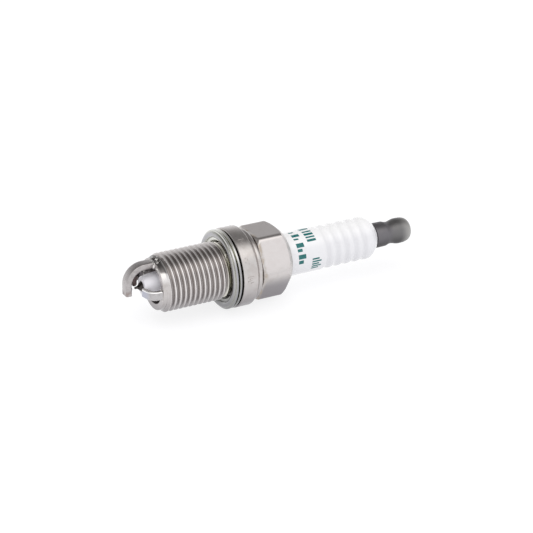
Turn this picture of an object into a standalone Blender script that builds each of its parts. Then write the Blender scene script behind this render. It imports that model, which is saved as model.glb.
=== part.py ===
"""Motorcycle spark plug with a central fine-wire electrode and three ground electrodes.

Sizes are in millimetres times MM. The plug is drawn upright in its own frame: +Z runs along its axis from the
firing end to the terminal, z = 0 is the seat face of the shell, and +X is the side of the main ground electrode.
An empty then lays it on its side, with the terminal towards world +X, a hexagon flat up and the flange on z = 0.
"""

import math

import bmesh
import bpy
from mathutils import Matrix, Vector

MM = 0.001

# Driving dimensions, mm
REACH = 19.0
THREAD_CREST = 6.95
THREAD_PITCH = 1.25
THREAD_DEPTH = 0.75
END_FACE_RADIUS = 6.0
HEX_ACROSS_FLATS = 16.0
HEX_FRONT = 5.75
HEX_REAR = 12.3
HEX_CORNER = 9.15
FLANGE_RADIUS = 9.6
RELIEF_RADIUS = 6.15
RELIEF_LENGTH = 1.66
SHOULDER_RADIUS = 6.6
SHOULDER_FRONT = 2.25
TERMINAL_HEIGHT = 50.5
INSULATOR_STEM = 5.25
INSULATOR_TOP = 39.9
INSULATOR_NOSE = 21.7
SPARK_GAP = 0.8
FIT = 0.05

# Shell bore and the insulator's cavity
FRONT_BORE = 4.65
LEDGE_BORE = 4.15
BODY_BORE = 4.85
CAVITY_RADIUS = 6.3
LEDGE_REAR = -8.6
SEAT_SLOPE = 0.5 / 0.7
LIP_RADIUS = 5.36
LIP_END = 14.95

# Gasket
GASKET_FRONT = 2.45
GASKET_REAR = 0.3
GASKET_OUTER = 9.55
GASKET_INNER = 6.75

# Insulator
INSULATOR_BODY = 4.75
INSULATOR_SHOULDER = 6.2
NOSE_RADIUS = 2.4
CORE_BORE = 2.05
TIP_BORE = 1.3
RIB_COUNT = 5
RIB_FIRST = 25.3
RIB_PITCH = 2.55
RIB_DEPTH = 0.36

# Centre electrode
SHEATH_RADIUS = 1.22
SHEATH_END = 22.75
COPPER_RADIUS = 0.68
IRIDIUM_RADIUS = 0.3
IRIDIUM_END = 23.45

# Ground electrodes
MAIN_WIDTH = 2.7
MAIN_THICKNESS = 1.45
MAIN_ROOT = 5.3
MAIN_BEND = 4.1
PAD_RADIUS = 0.5
PAD_HEIGHT = 0.36
SIDE_WIDTH = 2.3
SIDE_THICKNESS = 1.15
SIDE_ROOT = 5.3
SIDE_BEND = 2.3
SIDE_LEAN = math.radians(72)
SIDE_OFFSET = math.radians(5)
SIDE_FACE_RADIUS = 2.8

# Terminal
STUD_THREAD = 1.95
STUD_COLLAR = 2.9
COLLAR_REAR = 40.3
STUD_END = 49.0
NUT_HEAD = 3.15

# Facets round the plug, and round its inner pieces
ROUND = 24
ROUND_INNER = 16

# The plug's frame laid on its side; ROW_MIDDLE is the middle of its length, measured along the plug's axis
MAIN_OUTER = IRIDIUM_END + SPARK_GAP + PAD_HEIGHT + FIT + MAIN_THICKNESS
ROW_MIDDLE = (TERMINAL_HEIGHT - MAIN_OUTER) / 2

FINISHES = {
    "nickel_plate": ((0.60, 0.55, 0.53), 0.28, 1.0),
    "zinc_plate": ((0.66, 0.68, 0.64), 0.30, 1.0),
    "nickel_alloy": ((0.42, 0.39, 0.37), 0.42, 1.0),
    "noble_metal": ((0.50, 0.45, 0.44), 0.35, 1.0),
    "glazed_alumina": ((0.90, 0.90, 0.93), 0.12, 0.0),
    "copper": ((0.72, 0.36, 0.22), 0.35, 1.0),
    "iridium": ((0.20, 0.18, 0.18), 0.35, 1.0),
    "steel": ((0.45, 0.44, 0.43), 0.40, 1.0),
    "talc": ((0.80, 0.79, 0.74), 0.90, 0.0),
    "seal_glass": ((0.16, 0.15, 0.14), 0.50, 0.2),
    "carbon_glass": ((0.07, 0.07, 0.08), 0.75, 0.0),
    "dark_nickel": ((0.13, 0.12, 0.12), 0.38, 0.9),
}


def clear_scene():
    """Remove every object already in the scene."""
    for old in list(bpy.data.objects):
        bpy.data.objects.remove(old, do_unlink=True)


def finish_of(name):
    """Return the named material, made once from its colour, roughness and metallic value."""
    found = bpy.data.materials.get(name)
    if found:
        return found
    colour, roughness, metallic = FINISHES[name]
    made = bpy.data.materials.new(name)
    made.use_nodes = True
    surface = made.node_tree.nodes["Principled BSDF"]
    surface.inputs["Base Color"].default_value = (*colour, 1.0)
    surface.inputs["Roughness"].default_value = roughness
    surface.inputs["Metallic"].default_value = metallic
    made.diffuse_color = (*colour, 1.0)
    return made


def lay_down():
    """Make the empty that turns the plug's frame: its +Z to world +X, and its +X to world +Z."""
    empty = bpy.data.objects.new("plug_axis", None)
    bpy.context.scene.collection.objects.link(empty)
    turn = Matrix(((0, 0, 1), (0, -1, 0), (1, 0, 0))).to_4x4()
    place = Matrix.Translation((-ROW_MIDDLE * MM, 0, FLANGE_RADIUS * MM))
    empty.matrix_world = place @ turn
    return empty


def add_piece(name, shape, finish, smooth_below=40.0):
    """Turn a bmesh into an object of the plug's frame, with its normals outwards and its crisp edges kept."""
    bmesh.ops.remove_doubles(shape, verts=shape.verts, dist=0.0005 * MM)
    bmesh.ops.recalc_face_normals(shape, faces=shape.faces)
    mesh = bpy.data.meshes.new(name)
    shape.to_mesh(mesh)
    shape.free()
    mesh.shade_smooth()
    mesh.set_sharp_from_angle(angle=math.radians(smooth_below))
    mesh.materials.append(finish_of(finish))
    piece = bpy.data.objects.new(name, mesh)
    piece.parent = bpy.data.objects["plug_axis"]
    bpy.context.scene.collection.objects.link(piece)
    return piece


def turned(outline, sides, first_angle=0.0):
    """Spin an outline of (z, radius) points in mm once round the plug's axis.

    An outline whose ends lie on the axis makes a solid; any other outline is closed and makes a ring.
    """
    shape = bmesh.new()
    points = [shape.verts.new((radius * MM, 0, along * MM)) for along, radius in outline]
    edges = [shape.edges.new(pair) for pair in zip(points, points[1:])]
    if outline[0][1] > 0 or outline[-1][1] > 0:
        edges.append(shape.edges.new((points[-1], points[0])))
    bmesh.ops.rotate(shape, verts=points, cent=(0, 0, 0), matrix=Matrix.Rotation(first_angle, 3, "Z"))
    bmesh.ops.spin(
        shape,
        geom=points + edges,
        cent=(0, 0, 0),
        axis=(0, 0, 1),
        angle=math.tau,
        steps=sides,
        use_merge=True,
    )
    return shape


def arc(centre, radius, start, end, steps):
    """Points (z, radius) of an arc in an outline, its angles in degrees from the +z direction."""
    angles = [math.radians(start + (end - start) * i / steps) for i in range(steps + 1)]
    return [(centre[0] + radius * math.cos(a), centre[1] + radius * math.sin(a)) for a in angles]


def bar(width, thickness, corner, root, moves):
    """Run a rectangular bar with bevelled corners along a route in the plug's X-Z plane.

    It starts square to the axis at root = (x, z) in mm and heads towards -Z. Each move is ("run", length) or
    ("bend", radius, angle), and a bend turns the bar in towards the axis.
    """
    shape = bmesh.new()
    half_w, half_t = width / 2, thickness / 2
    ring = [
        (half_t - corner, -half_w), (half_t, -half_w + corner), (half_t, half_w - corner), (half_t - corner, half_w),
        (-half_t + corner, half_w), (-half_t, half_w - corner), (-half_t, -half_w + corner), (-half_t + corner, -half_w),
    ]
    verts = [shape.verts.new(((root[0] + x) * MM, y * MM, root[1] * MM)) for x, y in ring]
    edges = [shape.edges.new((a, b)) for a, b in zip(verts, verts[1:] + verts[:1])]
    shape.faces.new(verts)
    middle = Vector((root[0], 0, root[1])) * MM
    ahead = Vector((0, 0, -1))
    inward = Vector((-1, 0, 0))
    for kind, amount, *angle in moves:
        if kind == "run":
            grown = bmesh.ops.extrude_edge_only(shape, edges=edges)["geom"]
            verts = [item for item in grown if isinstance(item, bmesh.types.BMVert)]
            edges = [item for item in grown if isinstance(item, bmesh.types.BMEdge)]
            bmesh.ops.translate(shape, verts=verts, vec=ahead * amount * MM)
            middle += ahead * amount * MM
        else:
            centre = middle + inward * amount * MM
            steps = max(3, round(math.degrees(angle[0]) / 12))
            grown = bmesh.ops.spin(
                shape, geom=verts + edges, cent=centre, axis=(0, 1, 0), angle=angle[0], steps=steps
            )["geom_last"]
            verts = [item for item in grown if isinstance(item, bmesh.types.BMVert)]
            edges = [item for item in grown if isinstance(item, bmesh.types.BMEdge)]
            turn = Matrix.Rotation(angle[0], 3, "Y")
            middle = centre + turn @ (middle - centre)
            ahead = turn @ ahead
            inward = turn @ inward
    bmesh.ops.edgeloop_fill(shape, edges=edges)
    return shape


def hide_cutter(cutter):
    """Keep a cutting shape out of the model."""
    cutter.hide_render = True
    cutter.display_type = "WIRE"
    return cutter


def cut(piece, cutter):
    """Subtract a cutter from a piece."""
    modifier = piece.modifiers.new("cut_" + cutter.name, "BOOLEAN")
    modifier.operation = "DIFFERENCE"
    modifier.solver = "EXACT"
    modifier.object = hide_cutter(cutter)


def thread_cutter(crest, depth, pitch, start, end, sides):
    """Helical groove of a 60 degree thread, from z = start up to z = end."""
    shape = bmesh.new()
    root = crest - depth
    outside = crest + 0.15
    half_root = pitch / 16
    half_mouth = half_root + (outside - root) * math.tan(math.radians(30))
    section = [(-half_mouth, outside), (half_mouth, outside), (half_root, root), (-half_root, root)]
    verts = [shape.verts.new((radius * MM, 0, (start + along) * MM)) for along, radius in section]
    edges = [shape.edges.new((a, b)) for a, b in zip(verts, verts[1:] + verts[:1])]
    shape.faces.new(verts)
    steps = math.ceil((end - start) / pitch * sides)
    last = bmesh.ops.spin(
        shape,
        geom=verts + edges,
        cent=(0, 0, 0),
        axis=(0, 0, 1),
        dvec=(0, 0, pitch / sides * MM),
        angle=math.tau * steps / sides,
        steps=steps,
    )["geom_last"]
    bmesh.ops.edgeloop_fill(shape, edges=[item for item in last if isinstance(item, bmesh.types.BMEdge)])
    # its facets fall between the blank's, so that no two faces coincide
    half_facet = Matrix.Rotation(math.pi / sides, 3, "Z")
    bmesh.ops.rotate(shape, verts=shape.verts, cent=(0, 0, 0), matrix=half_facet)
    return shape


def make_shell():
    """Threaded steel shell: thread, relief, flange, buckled ring, hexagon and the lip crimped over the insulator."""
    seat_cone_front = LEDGE_REAR - (BODY_BORE - LEDGE_BORE) * SEAT_SLOPE
    outline = [
        (-REACH, FRONT_BORE + 0.15),
        (-REACH, END_FACE_RADIUS),
        (-18.7, END_FACE_RADIUS + 0.3),
        (-18.0, END_FACE_RADIUS + 0.4),
        (-17.6, THREAD_CREST),
        (-SHOULDER_FRONT - 0.85, THREAD_CREST),
        (-SHOULDER_FRONT, SHOULDER_RADIUS),
        (-RELIEF_LENGTH - 0.06, SHOULDER_RADIUS),
        (-RELIEF_LENGTH, RELIEF_RADIUS),
        (0, RELIEF_RADIUS),
        (0, FLANGE_RADIUS - 0.3),
        (0.3, FLANGE_RADIUS),
        (3.6, FLANGE_RADIUS),
        (4.15, 9.05),
        (4.2, 7.75),
        *arc((4.95, 7.95), 0.7, 160, 20, 4),
        (5.65, 7.75),
        (HEX_FRONT, 7.75),
        (HEX_FRONT, 8.5),
        (HEX_FRONT + 0.45, HEX_CORNER),
        (HEX_REAR, HEX_CORNER),
        (13.05, 8.15),
        (13.7, 7.5),
        (14.2, 6.9),
        (14.6, 6.3),
        (14.82, 5.9),
        (LIP_END, 5.6),
        (LIP_END - 0.1, LIP_RADIUS),
        (14.3, LIP_RADIUS),
        (14.1, 5.95),
        (13.6, CAVITY_RADIUS),
        (4.75, CAVITY_RADIUS),
        (4.75 - (CAVITY_RADIUS - BODY_BORE), BODY_BORE),
        (LEDGE_REAR, BODY_BORE),
        (seat_cone_front, LEDGE_BORE),
        (-10.6, LEDGE_BORE),
        (-11.1, FRONT_BORE),
        (-REACH + 0.15, FRONT_BORE),
    ]
    shell = add_piece("shell", turned(outline, ROUND), "nickel_plate", smooth_below=24.0)
    corner = HEX_ACROSS_FLATS / 2 / math.cos(math.pi / 6)
    flats = [(HEX_FRONT - 0.05, corner), (HEX_FRONT - 0.05, 13), (14.6, 13), (14.6, corner)]
    cut(shell, add_piece("hexagon_cutter", turned(flats, 6, math.pi / 6), "nickel_plate"))
    groove = thread_cutter(THREAD_CREST, THREAD_DEPTH, THREAD_PITCH, -REACH - 0.9, -SHOULDER_FRONT - 0.3, ROUND)
    cut(shell, add_piece("thread_cutter", groove, "nickel_plate"))


def make_gasket():
    """Folded crush washer, captive between the flange and the thread."""
    outline = [
        (-2.3, 7.9),
        (-GASKET_FRONT, 8.2),
        (-GASKET_FRONT, 8.8),
        (-2.3, 9.2),
        (-1.85, GASKET_OUTER),
        (-1.4, 9.5),
        (-1.2, 9.2),
        (-1.0, 9.5),
        (-0.6, GASKET_OUTER),
        (-GASKET_REAR, 9.3),
        (-GASKET_REAR, 7.1),
        (-0.5, 6.9),
        (-0.9, GASKET_INNER),
        (-1.4, GASKET_INNER + 0.1),
        (-1.75, 7.05),
        (-1.9, 7.6),
    ]
    add_piece("gasket", turned(outline, ROUND), "zinc_plate")


def make_insulator():
    """Alumina insulator: nose, seat cone, body, shoulder, ribbed stem and stepped bore."""
    seat_cone = LEDGE_REAR + 0.55
    ribs = []
    for index in range(RIB_COUNT):
        middle = RIB_FIRST + index * RIB_PITCH
        ribs += [
            (middle - 0.85, INSULATOR_STEM),
            (middle - 0.3, INSULATOR_STEM - RIB_DEPTH),
            (middle + 0.3, INSULATOR_STEM - RIB_DEPTH),
            (middle + 0.85, INSULATOR_STEM),
        ]
    outline = [
        (-INSULATOR_NOSE, TIP_BORE),
        (-INSULATOR_NOSE, NOSE_RADIUS - 0.35),
        (-INSULATOR_NOSE + 0.1, NOSE_RADIUS - 0.1),
        (-INSULATOR_NOSE + 0.35, NOSE_RADIUS),
        (-12.0, 3.5),
        (-9.2, 3.85),
        (seat_cone - 0.7 * SEAT_SLOPE, INSULATOR_BODY - 0.7),
        (seat_cone, INSULATOR_BODY),
        (3.5, INSULATOR_BODY),
        (3.5 + INSULATOR_SHOULDER - INSULATOR_BODY, INSULATOR_SHOULDER),
        (9.4, INSULATOR_SHOULDER),
        (10.3, INSULATOR_STEM),
        *ribs,
        (37.5, INSULATOR_STEM - 0.05),
        (38.3, 4.82),
        (39.0, 4.36),
        (39.5, 3.95),
        (39.8, 3.6),
        (INSULATOR_TOP, 3.35),
        (INSULATOR_TOP, CORE_BORE),
        (-7.0, CORE_BORE),
        (-7.6, TIP_BORE),
    ]
    add_piece("insulator", turned(outline, ROUND), "glazed_alumina")


def make_seals():
    """Pieces that hold and seal the insulator in the shell: seat washer, talc and two wire rings."""
    shell_cone = LEDGE_REAR - BODY_BORE * SEAT_SLOPE + FIT
    insulator_cone = LEDGE_REAR + 0.55 - INSULATOR_BODY * SEAT_SLOPE - FIT
    inner, outer = 4.25, 4.78
    washer = [
        (shell_cone + inner * SEAT_SLOPE, inner),
        (shell_cone + outer * SEAT_SLOPE, outer),
        (insulator_cone + outer * SEAT_SLOPE, outer),
        (insulator_cone + inner * SEAT_SLOPE, inner),
    ]
    add_piece("seat_packing_washer", turned(washer, ROUND), "copper")
    middle = (INSULATOR_STEM + CAVITY_RADIUS) / 2
    for name, along, wire in (("wire_ring_front", 10.47, 0.43), ("wire_ring_rear", 13.45, 0.42)):
        section = arc((along, middle), wire, 0, 360, 8)[:-1]
        add_piece(name, turned(section, ROUND), "steel")
    talc = [
        (10.98, INSULATOR_STEM + FIT),
        (10.98, CAVITY_RADIUS - FIT),
        (12.95, CAVITY_RADIUS - FIT),
        (12.95, INSULATOR_STEM + FIT),
    ]
    add_piece("talc_packing", turned(talc, ROUND), "talc")


def make_centre_electrode():
    """Nickel-alloy centre electrode with a copper core and a fine iridium tip."""
    sheath = [
        (-SHEATH_END, 0),
        (-SHEATH_END, 0.42),
        (-INSULATOR_NOSE - 0.1, SHEATH_RADIUS),
        (-7.5, SHEATH_RADIUS),
        (-6.9, CORE_BORE - 0.1),
        (-5.9, CORE_BORE - 0.1),
        (-5.6, CORE_BORE - 0.3),
        (-5.6, COPPER_RADIUS + FIT),
        (-20.0, COPPER_RADIUS + FIT),
        (-20.0, 0),
    ]
    add_piece("centre_electrode", turned(sheath, ROUND_INNER), "nickel_alloy")
    core = [
        (-20.0 + FIT, 0),
        (-20.0 + FIT, COPPER_RADIUS - 0.2),
        (-19.8 + FIT, COPPER_RADIUS),
        (-5.6, COPPER_RADIUS),
        (-5.6, 0),
    ]
    add_piece("centre_electrode_core", turned(core, ROUND_INNER), "copper")
    tip = [
        (-IRIDIUM_END, 0),
        (-IRIDIUM_END, IRIDIUM_RADIUS - 0.03),
        (-IRIDIUM_END + 0.03, IRIDIUM_RADIUS),
        (-SHEATH_END - 0.2, IRIDIUM_RADIUS),
        (-SHEATH_END - FIT, 0.4),
        (-SHEATH_END - FIT, 0),
    ]
    add_piece("centre_electrode_tip", turned(tip, ROUND_INNER), "iridium")


def make_inner_line():
    """Conductive seals and the suppressor between the centre electrode and the terminal stud."""
    radius = CORE_BORE - FIT
    for name, start, end, finish in (
        ("lower_glass_seal", -5.55, -1.2, "seal_glass"),
        ("resistor", -1.15, 11.0, "carbon_glass"),
    ):
        rod = [(start, 0), (start, radius), (end, radius), (end, 0)]
        add_piece(name, turned(rod, ROUND_INNER), finish)
    cup = [(11.05, 0), (11.05, radius), (17.0, radius), (17.0, 1.45), (13.0, 1.45), (13.0, 0)]
    add_piece("upper_glass_seal", turned(cup, ROUND_INNER), "seal_glass")


def make_terminal():
    """Threaded terminal stud and the barrel-shaped nut screwed on it."""
    stud = [
        (13.0 + FIT, 0),
        (13.0 + FIT, 1.1),
        (13.4, 1.4),
        (17.1, 1.4),
        (17.6, 1.85),
        (INSULATOR_TOP + FIT, 1.85),
        (INSULATOR_TOP + FIT, STUD_COLLAR),
        (COLLAR_REAR, STUD_COLLAR),
        (COLLAR_REAR, 1.6),
        (COLLAR_REAR + 0.5, 1.6),
        (COLLAR_REAR + 0.85, STUD_THREAD),
        (STUD_END - 0.4, STUD_THREAD),
        (STUD_END, 1.55),
        (STUD_END, 0),
    ]
    add_piece("terminal_stud", turned(stud, ROUND_INNER), "steel")
    base = COLLAR_REAR + FIT
    bore = STUD_THREAD + 0.08
    nut = [
        (STUD_END + 0.45, 0),
        (STUD_END + 0.15, bore),
        (base + 0.3, bore),
        (base, bore + 0.2),
        (base, 2.95),
        (base + 0.2, 3.1),
        (43.3, 3.08),
        (43.8, 2.9),
        (44.5, 2.74),
        (45.1, 2.72),
        (45.7, 2.84),
        (46.4, 3.07),
        (47.2, NUT_HEAD),
        (48.4, 3.12),
        (49.3, 2.88),
        (49.95, 2.52),
        (50.35, 2.05),
        (TERMINAL_HEIGHT, 1.5),
        (TERMINAL_HEIGHT, 0),
    ]
    add_piece("terminal_nut", turned(nut, ROUND), "dark_nickel")


def make_main_ground_electrode():
    """Main ground electrode: a bar bent over the tip, with a copper core and a noble-metal pad."""
    inner_face = IRIDIUM_END + SPARK_GAP + PAD_HEIGHT + FIT
    start = REACH + FIT
    straight = inner_face + MAIN_THICKNESS / 2 - MAIN_BEND - start
    past_axis = 1.3
    moves = [
        ("run", straight),
        ("bend", MAIN_BEND, math.pi / 2),
        ("run", MAIN_ROOT - MAIN_BEND + past_axis),
    ]
    shape = bar(MAIN_WIDTH, MAIN_THICKNESS, 0.35, (MAIN_ROOT, -start), moves)
    electrode = add_piece("ground_electrode_main", shape, "nickel_alloy")
    hollow_moves = [("run", straight + 0.1), ("bend", MAIN_BEND, math.radians(60))]
    hollow = bar(1.3, 0.6, 0.1, (MAIN_ROOT, -start + 0.1), hollow_moves)
    cut(electrode, add_piece("core_cutter", hollow, "copper"))
    core_moves = [("run", straight), ("bend", MAIN_BEND, math.radians(59))]
    core = bar(1.3 - 2 * FIT, 0.6 - 2 * FIT, 0.08, (MAIN_ROOT, -start), core_moves)
    add_piece("ground_electrode_core", core, "copper")
    face = -inner_face + FIT
    pad = [
        (face, 0),
        (face, PAD_RADIUS),
        (face + PAD_HEIGHT - 0.04, PAD_RADIUS),
        (face + PAD_HEIGHT, PAD_RADIUS - 0.04),
        (face + PAD_HEIGHT, 0),
    ]
    add_piece("ground_electrode_pad", turned(pad, ROUND_INNER), "noble_metal")


def make_side_electrodes():
    """Two side ground electrodes, bent in so that their hollowed ends face the insulator's nose."""
    well = [(-REACH - 4, 0), (-REACH - 4, SIDE_FACE_RADIUS), (-REACH - 1, SIDE_FACE_RADIUS), (-REACH - 1, 0)]
    moves = [("run", 0.7), ("bend", SIDE_BEND, SIDE_LEAN), ("run", 1.6)]
    places = (
        ("side_electrode_left", math.pi / 2 + SIDE_OFFSET),
        ("side_electrode_right", SIDE_OFFSET - math.pi / 2),
    )
    for name, turn in places:
        shape = bar(SIDE_WIDTH, SIDE_THICKNESS, 0.25, (SIDE_ROOT, -REACH - FIT), moves)
        electrode = add_piece(name, shape, "nickel_alloy")
        electrode.rotation_euler = (0, 0, turn)
        cutter = add_piece(name + "_well", turned(well, ROUND), "nickel_alloy")
        cutter.rotation_euler = (0, 0, turn)
        cut(electrode, cutter)


def main():
    """Build the whole plug."""
    clear_scene()
    lay_down()
    make_shell()
    make_gasket()
    make_insulator()
    make_seals()
    make_centre_electrode()
    make_inner_line()
    make_terminal()
    make_main_ground_electrode()
    make_side_electrodes()


main()
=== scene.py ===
"""Looks of a spark plug lying on a pale floor.

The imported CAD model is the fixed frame. Each visible CAD node is stood for by a finely built mesh in the
same place, and the sealed inner nodes stay and get finishes. Shapes are drawn in the plug's own frame, in
millimetres: +Z runs along its axis from the firing end to the terminal, z = 0 is the shell's seat face, and
+X is the side of the main ground electrode. One matrix then lays a finished mesh down in the row frame.
"""

import logging
import math
from collections.abc import Iterable
from dataclasses import dataclass, field, replace
from enum import Enum

import bmesh
import bpy
from mathutils import Matrix, Vector, noise


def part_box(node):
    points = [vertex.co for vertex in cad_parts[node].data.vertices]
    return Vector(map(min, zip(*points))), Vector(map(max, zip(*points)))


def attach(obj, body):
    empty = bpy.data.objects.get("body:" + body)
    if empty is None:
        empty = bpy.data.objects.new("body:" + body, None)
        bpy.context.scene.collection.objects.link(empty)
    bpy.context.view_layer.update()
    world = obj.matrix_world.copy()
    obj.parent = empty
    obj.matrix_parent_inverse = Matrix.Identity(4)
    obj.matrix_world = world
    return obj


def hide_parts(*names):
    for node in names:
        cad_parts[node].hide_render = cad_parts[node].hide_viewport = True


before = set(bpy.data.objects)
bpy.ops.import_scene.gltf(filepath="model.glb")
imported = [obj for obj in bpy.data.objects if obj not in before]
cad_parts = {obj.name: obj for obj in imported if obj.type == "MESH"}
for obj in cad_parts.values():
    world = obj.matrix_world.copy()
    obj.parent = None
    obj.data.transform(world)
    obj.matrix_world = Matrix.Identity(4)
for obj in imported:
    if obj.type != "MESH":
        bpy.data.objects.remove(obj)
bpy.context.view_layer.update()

LOG = logging.getLogger("spark_plug")

MM = 0.001
REACH = 19.0
ROUND = 144
ROUND_SMALL = 96
CAP_CORNERS = 24
NOISE_SEED = 5
WELDED = 0.0002 * MM
AXIS_HEIGHT = (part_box("terminal_nut")[0].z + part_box("terminal_nut")[1].z) / 2
SEAT_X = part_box("shell")[0].x + REACH * MM
LAY_DOWN = Matrix.Translation((SEAT_X, 0, AXIS_HEIGHT)) @ Matrix(((0, 0, 1), (0, -1, 0), (1, 0, 0))).to_4x4()

Outline = list[tuple[float, float]]
Section = list[tuple[float, float]]
Colour = tuple[float, float, float]


# Shader sockets as numbers


class Value:
    """A number socket of a node tree that takes part in Python arithmetic."""

    def __init__(self, shader: "Shader", socket: bpy.types.NodeSocket) -> None:
        """Keep the shader and the socket that carries the number."""
        self.shader = shader
        self.socket = socket

    def math(self, operation: str, *others: "Value | float", first: bool = True) -> "Value":
        """Add a Math node.

        Args:
            operation: The Math node's operation.
            others: The other operands.
            first: Whether this value is the first operand rather than the second.

        Returns:
            The node's result.
        """
        operands = [self, *others] if first else [*others, self]
        made = self.shader.node("ShaderNodeMath", {"operation": operation}, dict(enumerate(operands)))
        return Value(self.shader, made.outputs[0])

    def __add__(self, other: "Value | float") -> "Value":
        """Return self + other."""
        return self.math("ADD", other)

    __radd__ = __add__

    def __sub__(self, other: "Value | float") -> "Value":
        """Return self - other."""
        return self.math("SUBTRACT", other)

    def __rsub__(self, other: float) -> "Value":
        """Return other - self."""
        return self.math("SUBTRACT", other, first=False)

    def __mul__(self, other: "Value | float") -> "Value":
        """Return self * other."""
        return self.math("MULTIPLY", other)

    __rmul__ = __mul__

    def __truediv__(self, other: "Value | float") -> "Value":
        """Return self / other."""
        return self.math("DIVIDE", other)

    def __pow__(self, other: float) -> "Value":
        """Return self to the power of other."""
        return self.math("POWER", other)

    def step(self, low: float, high: float) -> "Value":
        """Return 0 below low and 1 above high, with a smooth rise between; low may be the larger."""
        rising = low < high
        span = (low, high) if rising else (high, low)
        settings = {"interpolation_type": "SMOOTHSTEP"}
        inputs = {"Value": self, "From Min": span[0], "From Max": span[1]}
        made = self.shader.node("ShaderNodeMapRange", settings, inputs)
        risen = Value(self.shader, made.outputs[0])
        return risen if rising else 1 - risen


class Shader:
    """One material's node tree, built node by node."""

    def __init__(self, tree: bpy.types.NodeTree) -> None:
        """Start with an empty tree."""
        self.tree = tree
        tree.nodes.clear()

    def node(self, kind: str, settings: dict | None = None, inputs: dict | None = None) -> bpy.types.Node:
        """Add a node.

        Args:
            kind: The node's type.
            settings: The node's own properties, set before its sockets.
            inputs: Values, colours, sockets or Value objects, by socket name or number.

        Returns:
            The new node.
        """
        made = self.tree.nodes.new(kind)
        for name, value in (settings or {}).items():
            setattr(made, name, value)
        for name, value in (inputs or {}).items():
            if isinstance(value, Value):
                self.tree.links.new(value.socket, made.inputs[name])
            elif isinstance(value, bpy.types.NodeSocket):
                self.tree.links.new(value, made.inputs[name])
            else:
                made.inputs[name].default_value = value
        return made

    def place(self) -> tuple[Value, Value, Value]:
        """Return the point in mm: along the plug's axis from the seat, and across it to world Y and Z."""
        point = self.node("ShaderNodeTexCoord").outputs["Object"]
        settings = {"vector_type": "POINT"}
        inputs = {"Vector": point, "Location": (-SEAT_X / MM, 0, -AXIS_HEIGHT / MM), "Scale": (1 / MM,) * 3}
        moved = self.node("ShaderNodeMapping", settings, inputs).outputs[0]
        parts = self.node("ShaderNodeSeparateXYZ", None, {0: moved}).outputs
        return tuple(Value(self, part) for part in parts)

    def vector(self, *parts: "Value | float") -> bpy.types.NodeSocket:
        """Join three numbers into a vector."""
        return self.node("ShaderNodeCombineXYZ", None, dict(enumerate(parts))).outputs[0]

    def noise(self, where: bpy.types.NodeSocket, scale: float, detail: float = 3.0) -> Value:
        """Return a noise texture's value, about 0.5 on average."""
        inputs = {"Vector": where, "Scale": scale, "Detail": detail, "Roughness": 0.55}
        return Value(self, self.node("ShaderNodeTexNoise", None, inputs).outputs[0])

    def mix(self, share: "Value | float", low: object, high: object) -> bpy.types.NodeSocket:
        """Blend two colours, each a socket or a plain colour."""
        settings = {"data_type": "RGBA"}
        colours = [(*c, 1.0) if isinstance(c, tuple) else c for c in (low, high)]
        inputs = {0: share, 6: colours[0], 7: colours[1]}
        return self.node("ShaderNodeMix", settings, inputs).outputs[2]


# Finishes


class Grain(Enum):
    """Direction of the fine marks left by how a surface was made."""

    TURNED = "rings round the plug's axis"
    DRAWN = "streaks along the plug's axis"
    FINE = "even grain"


class Along(Enum):
    """What a band of colour is measured by."""

    AXIS = 0
    FAR_SIDE = 1
    UP = 2
    RADIUS = 3


ANYWHERE = (-100.0, 100.0)
BAND_EDGE = 0.3


@dataclass(frozen=True)
class Band:
    """A stretch of a surface that takes another colour, used for real stains and tints and also for painted
    shade and painted highlights.

    Its share is whole beyond `full` and nil beyond `none`, both in mm by the chosen measure. `within` keeps
    it to a stretch of the axis, and `patchy` breaks it up with the finish's own patches.
    """

    colour: Colour
    full: float
    none: float
    along: Along = Along.AXIS
    strength: float = 1.0
    within: tuple[float, float] = ANYWHERE
    roughness: float = 0.0
    patchy: float = 0.0


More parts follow.
